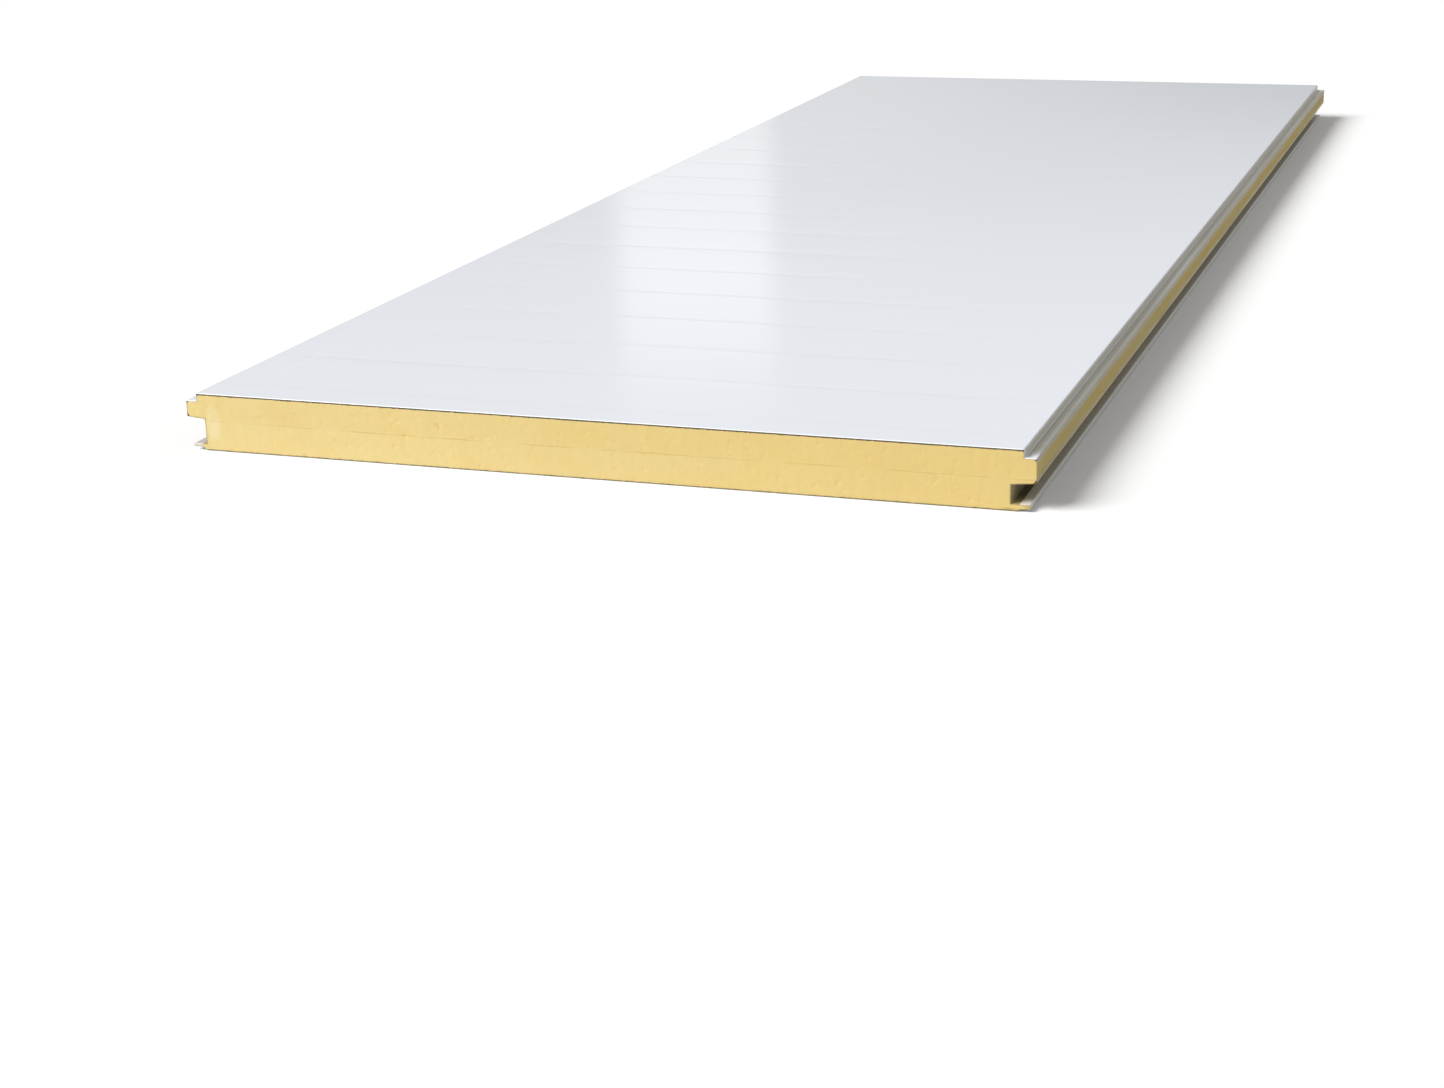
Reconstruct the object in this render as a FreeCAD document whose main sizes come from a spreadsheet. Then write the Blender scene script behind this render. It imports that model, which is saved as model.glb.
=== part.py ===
"""Insulated sandwich panel: two formed steel facings on a rigid foam core.

Frame: +X across the panel, +Y along it, +Z up through its thickness. The origin is the centre of the
underside, so the inner facing lies on Z = 0 and the outer facing's face is at Z = panel_thickness.

Each piece is one long section: a sketch on the XZ plane whose corners are bound to the spreadsheet, padded
along Y. The bends of the sheets are fillets, and the corners that the foam leaves unfilled behind the bends
are chamfers. At each long edge a tongue stands out under the outer facing and a lip over the inner one, with
a groove between them. A neighbour that is turned over fits the edge: its tongue goes into the groove, and
its lip lies over the shelf of the tongue.
"""
import FreeCAD, Part
import Sketcher
import math
import operator
import os

# Driving dimensions, in millimetres. Slopes are in degrees.
SIZES = {
    "panel_length": 3300,
    "cover_width": 1150,          # pitch of the panels in a wall
    "panel_thickness": 80,
    "joint_gap": 10,              # open joint between the faces of two neighbours
    "outer_gauge": 0.6,           # sheet of the outer facing
    "inner_gauge": 0.5,           # sheet of the inner facing
    "liner_gauge": 0.5,           # strip that closes the foam at an edge
    "bend_radius": 1.5,           # inside radius of a bend
    "step_depth": 11,             # outer face down to the tongue's shelf
    "shelf_reach": 16,            # edge of the face out to the tongue's side
    "outer_return": 5,            # outer sheet's run down the tongue's side
    "tongue_side": 32,            # shelf down to the right tongue's lower corner
    "underside_slope": 5.5,       # slope of the tongues' undersides
    "groove_depth": 17,           # edge of the face in to the right groove's back
    "recess_depth": 11.5,         # edge of the face in to the left groove's back
    "joint_clearance": 1.25,      # between a tongue or lip and the neighbour it meets
    "nose_clearance": 1,          # between a lip's nose and the neighbour's step
    "right_lip": 7,               # thickness of the right lip
    "left_lip": 5,                # thickness of the left lip
    "nose_flat": 0.6,             # flat between the two bends of a lip's nose
    "lip_return": 14,             # inner sheet's run back over a lip
    "lip_root": 5,                # edge of the face in to the end of a lip's underside
    "step_slope": 45,             # slope of the steps in the underside
    "liner_overlap": 7,           # liner's run up the tongue's side
    "foam_relief": 4,             # corner that the foam leaves unfilled behind a bend
}

RIGHT, UP, LEFT, DOWN = 0, 90, 180, -90     # headings of a section's straight runs, in degrees
LEFT_HAND, RIGHT_HAND = 1, -1               # side of its path on which a sheet has its thickness
NEAR = 1e-4                                 # distance within which two places are the same


def operation(symbol, work):
    """The two methods that make one arithmetic sign work on measures, plain and reflected."""
    def forward(first, second):
        first, second = as_measure(first), as_measure(second)
        return Measure(work(first.value, second.value), f"({first.formula} {symbol} {second.formula})")

    def reflected(second, first):
        return forward(first, second)

    return forward, reflected


class Measure:
    """A length or an angle: its present value, and the formula that binds it to the spreadsheet."""

    def __init__(self, value, formula):
        self.value, self.formula = value, formula

    __add__, __radd__ = operation("+", operator.add)
    __sub__, __rsub__ = operation("-", operator.sub)
    __mul__, __rmul__ = operation("*", operator.mul)
    __truediv__, __rtruediv__ = operation("/", operator.truediv)

    def __neg__(self):
        return 0 - self


def as_measure(number):
    """A plain number as a measure, and a measure as it is."""
    return number if isinstance(number, Measure) else Measure(number, repr(number))


def trigonometric(name):
    """A trigonometric function that takes a measure in degrees."""
    def of_angle(angle):
        angle = as_measure(angle)
        return Measure(getattr(math, name)(math.radians(angle.value)), f"{name}({angle.formula})")

    return of_angle


sine, cosine, tangent = trigonometric("sin"), trigonometric("cos"), trigonometric("tan")


def make_spreadsheet(document):
    """The sheet of driving dimensions, and each of them as a measure by its alias."""
    sheet = document.addObject("Spreadsheet::Sheet", "Sizes")
    for row, (alias, number) in enumerate(SIZES.items(), 1):
        sheet.set(f"A{row}", alias)
        sheet.set(f"B{row}", str(number))
        sheet.setAlias(f"B{row}", alias)
    document.recompute()
    return {alias: Measure(float(number), f"Sizes.{alias}") for alias, number in SIZES.items()}


def shifted(path, headings, distance, hand):
    """The corners of a path moved sideways, each along its mitre, by a distance.

    The left-hand normal of heading a is (-sin a, cos a). A corner between headings a and b moves by the
    sum of both normals over 1 + cos(b - a), which keeps the distance on both runs.
    """
    corners = []
    for index, (x, z) in enumerate(path):
        before = as_measure(headings[max(index - 1, 0)])
        after = as_measure(headings[min(index, len(headings) - 1)])
        reach = hand * distance / (1 + cosine(after - before))
        across, up = sine(before) + sine(after), cosine(before) + cosine(after)
        corners.append((x - reach * across, z + reach * up))
    return corners


def make_section(document, label, corners, length):
    """A body of one closed outline on the XZ plane, padded both ways along Y."""
    body = document.addObject("PartDesign::Body", label)
    sketch = body.newObject("Sketcher::SketchObject", f"{label}_outline")
    plane = next(feature for feature in body.Origin.OriginFeatures if feature.Role == "XZ_Plane")
    sketch.AttachmentSupport = [(plane, "")]
    sketch.MapMode = "FlatFace"

    points = [FreeCAD.Vector(as_measure(x).value, as_measure(z).value, 0) for x, z in corners]
    for start, end in zip(points, points[1:] + points[:1]):
        sketch.addGeometry(Part.LineSegment(start, end), False)
    for index, (x, z) in enumerate(corners):
        following = (index + 1) % len(corners)
        sketch.addConstraint(Sketcher.Constraint("Coincident", index, 2, following, 1))
        for kind, measure in (("DistanceX", as_measure(x)), ("DistanceY", as_measure(z))):
            number = sketch.addConstraint(Sketcher.Constraint(kind, -1, 1, index, 1, measure.value))
            sketch.setExpression(f"Constraints[{number}]", measure.formula)

    pad = body.newObject("PartDesign::Pad", f"{label}_pad")
    pad.Profile = sketch
    pad.SideType = "Symmetric"
    pad.setExpression("Length", length.formula)
    document.recompute()
    return body


def long_edges(shape, corners):
    """Names of the shape's edges that run along the panel through the given corners."""
    names = []
    for x, z in corners:
        place = (as_measure(x).value, as_measure(z).value)
        for number, edge in enumerate(shape.Edges, 1):
            if all(math.dist((end.X, end.Z), place) < NEAR for end in edge.Vertexes):
                names.append(f"Edge{number}")
    return names


def dress(document, body, kind, name, corners, size):
    """A fillet or chamfer of one size on the long edges through the given corners."""
    base = body.Tip
    feature = body.newObject(f"PartDesign::{kind}", f"{body.Label}_{name}")
    feature.Base = (base, long_edges(base.Shape, corners))
    feature.setExpression("Radius" if kind == "Fillet" else "Size", size.formula)
    document.recompute()


def make_sheet(document, label, path, headings, gauge, hand, bends, length):
    """A formed sheet: a path given its thickness on one hand, with a bend at each inner corner.

    bends maps a name to the inside radius and the numbers of the path's corners that have it.
    """
    far = shifted(path, headings, gauge, hand)
    body = make_section(document, label, path + far[::-1], length)
    for name, (radius, numbers) in bends.items():
        insides, outsides = [], []
        for number in numbers:
            turn = sine(as_measure(headings[number]) - headings[number - 1]).value * hand
            near_side, far_side = path[number], far[number]
            insides.append(far_side if turn > 0 else near_side)
            outsides.append(near_side if turn > 0 else far_side)
        dress(document, body, "Fillet", f"{name}_inside", insides, radius)
        dress(document, body, "Fillet", f"{name}_outside", outsides, radius + gauge)
    return body


def build(document):
    """All pieces of the panel."""
    size = make_spreadsheet(document)
    length, bend = size["panel_length"], size["bend_radius"]
    outer_gauge, inner_gauge, liner_gauge = (size[f"{name}_gauge"] for name in ("outer", "inner", "liner"))

    # Places that the pieces share. Distances across are from the panel's centre line.
    top = size["panel_thickness"]
    shelf = top - size["step_depth"]
    face_edge = (size["cover_width"] - size["joint_gap"]) / 2
    tongue_edge = face_edge + size["shelf_reach"]
    nose_edge = face_edge + size["joint_gap"] - size["nose_clearance"]
    return_end = nose_edge - size["lip_return"]
    root_edge = face_edge - size["lip_root"]
    lip_top = size["step_depth"] - size["joint_clearance"]
    foam_floor = lip_top - inner_gauge
    foam_side = tongue_edge - outer_gauge
    slope = size["underside_slope"]

    # Outer facing, from the left tongue's side over the face to the right one's.
    return_foot = shelf - size["outer_return"]
    outer_path = [
        (-tongue_edge, return_foot), (-tongue_edge, shelf), (-face_edge, shelf), (-face_edge, top),
        (face_edge, top), (face_edge, shelf), (tongue_edge, shelf), (tongue_edge, return_foot),
    ]
    outer_headings = [UP, RIGHT, UP, RIGHT, DOWN, RIGHT, DOWN]
    make_sheet(document, "outer_facing", outer_path, outer_headings, outer_gauge, RIGHT_HAND,
               {"bends": (bend, range(1, 7))}, length)

    # Inner facing, from the left lip's top round its nose and under the panel to the right lip's top.
    step = size["step_slope"]
    left_under, right_under = lip_top - size["left_lip"], lip_top - size["right_lip"]
    left_run, right_run = left_under / tangent(step), right_under / tangent(step)
    inner_path = [
        (-return_end, lip_top), (-nose_edge, lip_top), (-nose_edge, left_under), (-root_edge, left_under),
        (left_run - root_edge, 0), (root_edge - right_run, 0), (root_edge, right_under),
        (nose_edge, right_under), (nose_edge, lip_top), (return_end, lip_top),
    ]
    inner_headings = [LEFT, DOWN, RIGHT, -step, RIGHT, step, RIGHT, UP, LEFT]
    left_nose = (size["left_lip"] - size["nose_flat"]) / 2 - inner_gauge
    right_nose = (size["right_lip"] - size["nose_flat"]) / 2 - inner_gauge
    make_sheet(document, "inner_facing", inner_path, inner_headings, inner_gauge, LEFT_HAND,
               {"steps": (bend, range(3, 7)), "left_nose": (left_nose, (1, 2)),
                "right_nose": (right_nose, (7, 8))}, length)

    # Right liner: its path is on the foam, down the tongue's side, into the groove and out over the lip.
    groove_back = face_edge - size["groove_depth"]
    right_foot = shelf - size["tongue_side"]
    right_corner = right_foot + liner_gauge
    right_path = [
        (foam_side, right_corner + size["liner_overlap"]), (foam_side, right_corner),
        (groove_back, right_corner - (foam_side - groove_back) * tangent(slope)),
        (groove_back, foam_floor), (return_end, foam_floor),
    ]
    make_sheet(document, "right_edge_liner", right_path, [DOWN, slope - LEFT, DOWN, RIGHT], liner_gauge,
               LEFT_HAND, {"bends": (bend, range(1, 4))}, length)

    # Left liner: turned over, the left tongue clears the right tongue's underside of a neighbour.
    recess_back = face_edge - size["recess_depth"]
    overlap = tongue_edge + tongue_edge - (2 * face_edge + size["joint_gap"])
    left_foot = top - right_foot + size["joint_clearance"] + overlap * tangent(slope)
    left_corner = left_foot + liner_gauge
    left_path = [
        (-foam_side, left_corner + size["liner_overlap"]), (-foam_side, left_corner),
        (-recess_back, left_corner - (foam_side - recess_back) * tangent(slope)),
        (-recess_back, foam_floor), (-return_end, foam_floor),
    ]
    make_sheet(document, "left_edge_liner", left_path, [DOWN, -slope, DOWN, LEFT], liner_gauge,
               RIGHT_HAND, {"bends": (bend, range(1, 4))}, length)

    # Foam core: the corners of the sheets' inner faces and of the liners' paths, in one round.
    under_outer = shifted(outer_path, outer_headings, outer_gauge, RIGHT_HAND)[1:-1]
    over_inner = shifted(inner_path, inner_headings, inner_gauge, LEFT_HAND)[1:-1]
    corners = under_outer + right_path[1:-1] + over_inner[::-1] + left_path[-2:0:-1]
    foam = make_section(document, "foam_core", corners, length)
    face_corners = [under_outer[number] for number in (0, 2, 3, 5)] + [right_path[1], left_path[1]]
    dress(document, foam, "Chamfer", "relief", face_corners, size["foam_relief"])
    dress(document, foam, "Chamfer", "steps", over_inner[3:5], bend)
    dress(document, foam, "Chamfer", "left_nose", over_inner[0:2], left_nose)
    dress(document, foam, "Chamfer", "right_nose", over_inner[6:8], right_nose)


def check_and_export(document):
    """Stop if any object failed, then write each body's solid to its own file."""
    for item in document.Objects:
        if {"Invalid", "Error"} & set(item.State):
            raise RuntimeError(f"{item.Label} failed: {item.State}")
    bodies = [item for item in document.Objects if item.TypeId == "PartDesign::Body"]
    for body in bodies:
        if body.Shape.isNull() or not body.Shape.isValid() or len(body.Shape.Solids) != 1:
            raise RuntimeError(f"{body.Label} isn't one valid solid")
    os.makedirs("parts", exist_ok=True)
    for body in bodies:
        body.Shape.exportStep(f"parts/{body.Label}.step")
        print(body.Label, round(body.Shape.Volume / 1e6, 4), "litres")


panel = FreeCAD.newDocument("sandwich_panel")
build(panel)
check_and_export(panel)
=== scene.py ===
"""Looks of the insulated sandwich panel: coated steel facings, a sawn rigid foam core and foil edge strips.

The frame is the panel's own: X across it, Y along it, Z up through its thickness, origin at the centre of the
underside. Sections and finishes are given in millimetres, meshes are made in metres. Each piece is a surface
worked out on a grid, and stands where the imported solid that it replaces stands.
"""

import logging
import math
from dataclasses import dataclass, field
from enum import Enum

import bpy
import numpy as np
from mathutils import Matrix, Vector


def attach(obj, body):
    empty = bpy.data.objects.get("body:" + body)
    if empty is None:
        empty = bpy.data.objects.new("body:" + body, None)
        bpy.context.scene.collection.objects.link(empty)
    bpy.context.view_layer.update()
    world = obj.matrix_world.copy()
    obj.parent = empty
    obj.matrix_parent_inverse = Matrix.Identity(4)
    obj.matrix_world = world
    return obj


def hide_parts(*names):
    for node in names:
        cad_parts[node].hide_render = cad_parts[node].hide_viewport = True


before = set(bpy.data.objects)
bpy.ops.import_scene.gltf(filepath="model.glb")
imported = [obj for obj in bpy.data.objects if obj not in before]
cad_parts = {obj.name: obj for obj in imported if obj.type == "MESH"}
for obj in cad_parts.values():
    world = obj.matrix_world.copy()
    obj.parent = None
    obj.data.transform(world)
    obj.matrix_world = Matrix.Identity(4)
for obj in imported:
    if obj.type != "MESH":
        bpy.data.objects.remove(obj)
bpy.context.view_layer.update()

METRE = 1000.0                  # millimetres in a metre
BODY = "root"                   # the one body that every piece rides on
BEND_PARTS = 6                  # straight parts of a bend's arc
SHARP_ANGLE = math.radians(35)  # creases steeper than this stay sharp
NEAR = 1e-6                     # difference, in millimetres, within which two places are the same

Triple = tuple[float, float, float]
Colour = Triple
Span = tuple[float, float]      # a lower and a higher number
Place = tuple[float, float]     # a place in section: across and up

log = logging.getLogger("sandwich_panel")


class Side(Enum):
    """A long edge of the panel; the value is the sign of X there."""

    LEFT = -1
    RIGHT = 1


class Skin(Enum):
    """What a face of a sheet is; the value is the number of its material."""

    EXPOSED = 0
    HIDDEN = 1
    CUT = 2


class Hand(Enum):
    """The side of its bent line on which a sheet has its thickness; the value goes with left-hand normals."""

    LEFT = 1
    RIGHT = -1


@dataclass(frozen=True)
class EdgeSizes:
    """What differs between the two long edges, in millimetres."""

    lip_under: float        # underside of the lip
    nose_bend: float        # inside radius of the lip's nose
    groove_back: float      # back of the groove, from the centre line
    tongue_root: float      # foam under the tongue at the back of the groove
    tongue_corner: float    # foam's lower corner at the tongue's side
    lap: float              # run of the foil up the tongue's side


@dataclass(frozen=True)
class Section:
    """The panel's section and length, in millimetres: across from the centre line, up from the underside."""

    half_length: float = 1650.0
    top: float = 80.0
    shelf: float = 69.0
    return_foot: float = 64.0
    face_edge: float = 570.0
    tongue_edge: float = 586.0
    nose_edge: float = 579.0
    root_edge: float = 565.0
    lip_top: float = 9.75
    outer_gauge: float = 0.6
    inner_gauge: float = 0.5
    bend: float = 1.5
    relief: float = 4.0         # corner that the foam leaves unfilled behind a bend
    edges: dict[Side, EdgeSizes] = field(default_factory=lambda: {
        Side.RIGHT: EdgeSizes(2.75, 2.7, 553.0, 34.380, 37.5, 7.0),
        Side.LEFT: EdgeSizes(4.75, 1.7, 558.5, 44.278, 46.868, 7.0),
    })

    @property
    def foam_wall(self) -> float:
        """The foam's side behind the step of the outer facing."""
        return self.face_edge - self.outer_gauge

    @property
    def foam_side(self) -> float:
        """The foam's side in the tongues."""
        return self.tongue_edge - self.outer_gauge

    @property
    def foam_roof(self) -> float:
        """The foam's top in the lips."""
        return self.lip_top - self.inner_gauge


# Shapes ---------------------------------------------------------------------------------------------------


def graded(places: list[float], cell: float) -> np.ndarray:
    """Places along a line: the given ones, and equal steps of at most one cell between them.

    Args:
        places: Places that have to be there, in rising order.
        cell: Longest step between two neighbours.

    Returns:
        All places in rising order.
    """
    parts = [np.linspace(start, end, max(1, math.ceil((end - start) / cell)) + 1)[:-1]
             for start, end in zip(places, places[1:])]
    return np.append(np.concatenate(parts), places[-1])


def rolling(u: np.ndarray, v: np.ndarray, seed: int) -> np.ndarray:
    """Smooth noise from -1 to 1: random heights on a unit lattice, joined both ways by 3t² - 2t³.

    Args:
        u: First coordinates, in lattice cells.
        v: Second coordinates, of a shape that goes with the first.
        seed: Number of the random lattice.

    Returns:
        The height at each place.
    """
    lattice = np.random.default_rng(seed).uniform(-1, 1, (97, 97))
    size = len(lattice)
    column, row = np.floor(u).astype(int), np.floor(v).astype(int)
    right, up = (share * share * (3 - 2 * share) for share in (u - column, v - row))
    column, next_column, row, next_row = column % size, (column + 1) % size, row % size, (row + 1) % size
    near = lattice[column, row] * (1 - right) + lattice[next_column, row] * right
    far = lattice[column, next_row] * (1 - right) + lattice[next_column, next_row] * right
    return near * (1 - up) + far * up


def smooth_step(low: float, high: float, value: np.ndarray) -> np.ndarray:
    """0 at low, 1 at high and 3t² - 2t³ between them."""
    share = np.clip((value - low) / (high - low), 0, 1)
    return share * share * (3 - 2 * share)


def bent_line(corners: list[Place], radii: list[float], cell: float,
              lead: float = 0.8) -> tuple[np.ndarray, np.ndarray]:
    """A line with rounded corners.

    The arc at a corner leaves both runs radius * tan(turn / 2) before the corner. Its points are the arc's
    centre plus the radius times the normal turned in equal steps. A straight run has points a cell apart at
    most, and one a lead beyond each bend, where smooth shading comes to rest.

    Args:
        corners: The line's corners in the section, ends included.
        radii: Radius at each corner between the ends.
        cell: Longest step on a straight run.
        lead: Distance of the support point from a bend.

    Returns:
        The points and their left-hand normals, both of shape (points, 2).
    """
    places = np.asarray(corners, float)
    runs = np.diff(places, axis=0)
    lengths = np.linalg.norm(runs, axis=1)
    ahead = runs / lengths[:, None]
    left = np.stack([-ahead[:, 1], ahead[:, 0]], axis=1)
    turns = np.arctan2(ahead[:-1, 0] * ahead[1:, 1] - ahead[:-1, 1] * ahead[1:, 0],
                       (ahead[:-1] * ahead[1:]).sum(axis=1))
    cuts = np.concatenate([[0], np.asarray(radii) * np.tan(np.abs(turns) / 2), [0]])
    points, normals = [], []
    for run, length in enumerate(lengths):
        start, end = cuts[run], length - cuts[run + 1]
        roomy = end - start > 4 * lead
        steps = graded([start, start + lead, end - lead, end] if roomy else [start, end], cell)
        points.append(places[run] + steps[:, None] * ahead[run])
        normals.append(np.repeat(left[run:run + 1], len(steps), axis=0))
        if run < len(turns):
            angles = np.linspace(0, turns[run], BEND_PARTS + 1)[1:-1]
            across, up = left[run]
            turned = np.stack([across * np.cos(angles) - up * np.sin(angles),
                               across * np.sin(angles) + up * np.cos(angles)], axis=1)
            reach = np.sign(turns[run]) * radii[run]
            centre = places[run] + end * ahead[run] + reach * left[run]
            points.append(centre - reach * turned)
            normals.append(turned)
    return np.concatenate(points), np.concatenate(normals)


def grid_quads(grid: np.ndarray) -> np.ndarray:
    """The four-sided faces of a grid of vertex numbers, each (here, next column, both next, next row)."""
    return np.stack([grid[:-1, :-1], grid[:-1, 1:], grid[1:, 1:], grid[1:, :-1]], axis=-1).reshape(-1, 4)


def surface(x: np.ndarray, y: np.ndarray, z: np.ndarray) -> np.ndarray:
    """The places of a surface: its three coordinates brought to one shape and stacked."""
    return np.stack(np.broadcast_arrays(x, y, z), axis=-1)


def closed_sheet(outer: np.ndarray, inner: np.ndarray) -> tuple[np.ndarray, np.ndarray, np.ndarray]:
    """A sheet closed all round from its two surfaces.

    Both surfaces are grids of the same shape. The inner one's faces are turned over, and a ring of faces joins
    the rims.

    Args:
        outer: The exposed surface, of shape (stations, points, 3).
        inner: The hidden surface, of the same shape.

    Returns:
        Vertices, faces, and the Skin value of each face.
    """
    stations, points = outer.shape[:2]
    front = np.arange(stations * points).reshape(stations, points)
    back = front + front.size

    def ring(grid: np.ndarray) -> np.ndarray:
        """The grid's rim, once round."""
        return np.concatenate([grid[0, :-1], grid[:-1, -1], grid[-1, :0:-1], grid[:0:-1, 0]])

    here, there = ring(front), ring(back)
    rim = np.stack([np.roll(here, -1), here, there, np.roll(there, -1)], axis=1)
    skins = grid_quads(front), grid_quads(back)[:, ::-1], rim
    vertices = np.concatenate([outer.reshape(-1, 3), inner.reshape(-1, 3)])
    kinds = np.repeat([skin.value for skin in Skin], [len(skin) for skin in skins])
    return vertices, np.concatenate(skins), kinds


def outwards(vertices: np.ndarray, quads: np.ndarray) -> np.ndarray:
    """The faces of a closed shape, all turned over if its volume comes out negative.

    The volume is a sixth of the sum of a · (b × c) over the triangles that halve the faces.

    Args:
        vertices: Places of the vertices.
        quads: Vertex numbers of the faces, all turned the same way.

    Returns:
        The faces, turned outwards.
    """
    a, b, c, d = (vertices[quads[:, corner]] for corner in range(4))
    volume = (a * (np.cross(b, c) + np.cross(c, d))).sum()
    return quads if volume > 0 else quads[:, ::-1]


def make_piece(name: str, vertices: np.ndarray, quads: np.ndarray, finishes: list[bpy.types.Material],
               choice: np.ndarray) -> bpy.types.Object:
    """A mesh object of closed four-sided faces, smooth but for its creases.

    Args:
        name: The object's name.
        vertices: Places of the vertices, in millimetres.
        quads: Vertex numbers of the faces.
        finishes: The materials.
        choice: Number of the material of each face.

    Returns:
        The object, at the origin of the frame.
    """
    mesh = bpy.data.meshes.new(name)
    mesh.from_pydata((vertices / METRE).tolist(), [], outwards(vertices, quads).tolist())
    for finish in finishes:
        mesh.materials.append(finish)
    mesh.polygons.foreach_set("material_index", choice.astype(np.int32))
    mesh.shade_smooth()
    mesh.set_sharp_from_angle(angle=SHARP_ANGLE)
    piece = bpy.data.objects.new(name, mesh)
    bpy.context.scene.collection.objects.link(piece)
    return piece


# Shader maths -----------------------------------------------------------------------------------------------


class Value:
    """A number that varies over a surface. Arithmetic on it adds Math nodes."""

    def __init__(self, shader: "Shader", socket: bpy.types.NodeSocket) -> None:
        """Wraps one output socket of a shader's nodes."""
        self.shader, self.socket = shader, socket

    def math(self, operation: str, *numbers: "Value | float") -> "Value":
        """One Math node on the given numbers."""
        return self.shader.value("ShaderNodeMath", {"operation": operation}, dict(enumerate(numbers)))

    def __add__(self, other: "Value | float") -> "Value":
        """self + other"""
        return self.math("ADD", self, other)

    def __sub__(self, other: "Value | float") -> "Value":
        """self - other"""
        return self.math("SUBTRACT", self, other)

    def __rsub__(self, other: float) -> "Value":
        """other - self"""
        return self.math("SUBTRACT", other, self)

    def __mul__(self, other: "Value | float") -> "Value":
        """self * other"""
        return self.math("MULTIPLY", self, other)

    __radd__, __rmul__ = __add__, __mul__

    def __abs__(self) -> "Value":
        """abs(self)"""
        return self.math("ABSOLUTE", self)

    def __mod__(self, other: float) -> "Value":
        """self % other, which rises from 0 also below zero"""
        return self.math("FLOORED_MODULO", self, other)

    def at_most(self, other: float) -> "Value":
        """The smaller of self and other"""
        return self.math("MINIMUM", self, other)

    def rise(self, low: float, high: float) -> "Value":
        """0 at low and 1 at high, smooth between them; it falls instead where low is the larger.

        Args:
            low: Number at which it is 0.
            high: Number at which it is 1.

        Returns:
            The share, 0 and 1 also beyond the two numbers.
        """
        start, end = (low, high) if low < high else (high, low)
        share = self.shader.value("ShaderNodeMapRange", {"interpolation_type": "SMOOTHSTEP"},
                                  {"Value": self, "From Min": start, "From Max": end})
        return share if low < high else 1 - share

    def band(self, rising: Span, falling: Span) -> "Value":
        """1 between two spans and 0 beyond them: it rises over the first and falls over the second."""
        return self.rise(*rising) * self.rise(*falling[::-1])


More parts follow.
